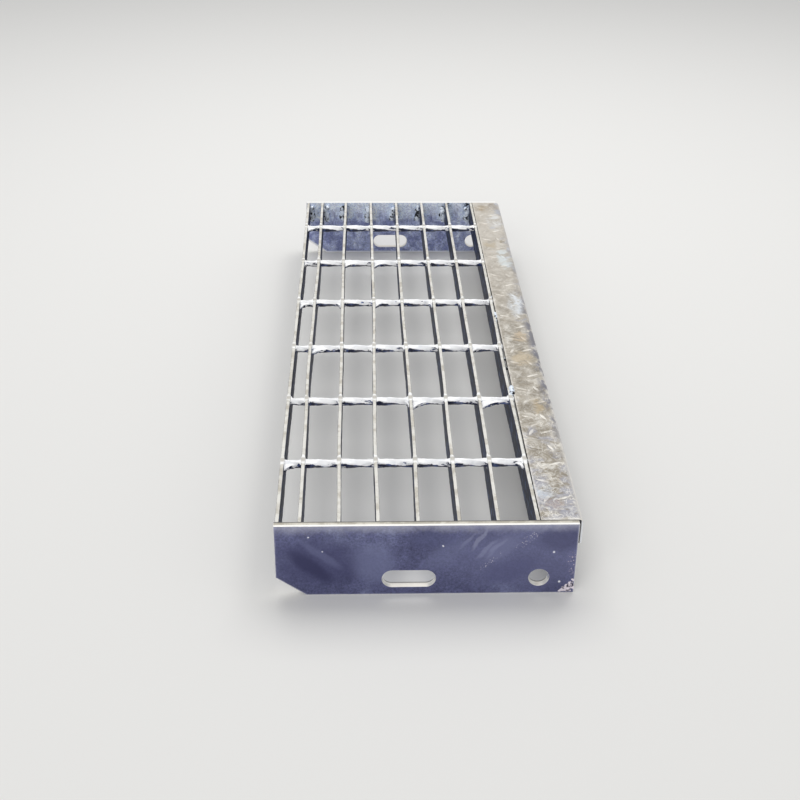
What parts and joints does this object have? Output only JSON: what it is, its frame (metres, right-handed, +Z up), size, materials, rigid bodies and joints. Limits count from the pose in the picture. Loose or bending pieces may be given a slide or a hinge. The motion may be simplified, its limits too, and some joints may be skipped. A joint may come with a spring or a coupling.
{
  "type": "stair tread",
  "caption": "Stair tread of welded bar grating with twisted cross rods, a folded checker-plate nosing and drilled end plates that bolt between two stair stringers.",
  "frame": {"origin": "middle of the tread's footprint, level with the end plates' bottom edges", "axes": "+X forward to the nosing, +Y along the tread to its right end, +Z up"},
  "size_m": [0.2346, 0.67, 0.066],
  "materials": {
    "galvanised_plate": "hot-dip galvanised",
    "galvanised_bar": "hot-dip galvanised",
    "galvanised_rod": "hot-dip galvanised",
    "checker_plate": "hot-dip galvanised",
    "galvanised_weld": "hot-dip galvanised"
  },
  "bodies": {
    "root": {"left_end_plate": "galvanised_plate", "right_end_plate": "galvanised_plate", "bearing_bar_1": "galvanised_bar", "bearing_bar_2": "galvanised_bar", "bearing_bar_3": "galvanised_bar", "bearing_bar_4": "galvanised_bar", "bearing_bar_5": "galvanised_bar", "bearing_bar_6": "galvanised_bar", "bearing_bar_7": "galvanised_bar", "bearing_bar_8": "galvanised_bar", "cross_rod_1": "galvanised_rod", "cross_rod_2": "galvanised_rod", "cross_rod_3": "galvanised_rod", "cross_rod_4": "galvanised_rod", "cross_rod_5": "galvanised_rod", "cross_rod_6": "galvanised_rod", "nosing": "checker_plate", "left_plate_welds": "galvanised_weld", "right_plate_welds": "galvanised_weld", "nosing_welds": "galvanised_weld"}
  },
  "joints": []
}
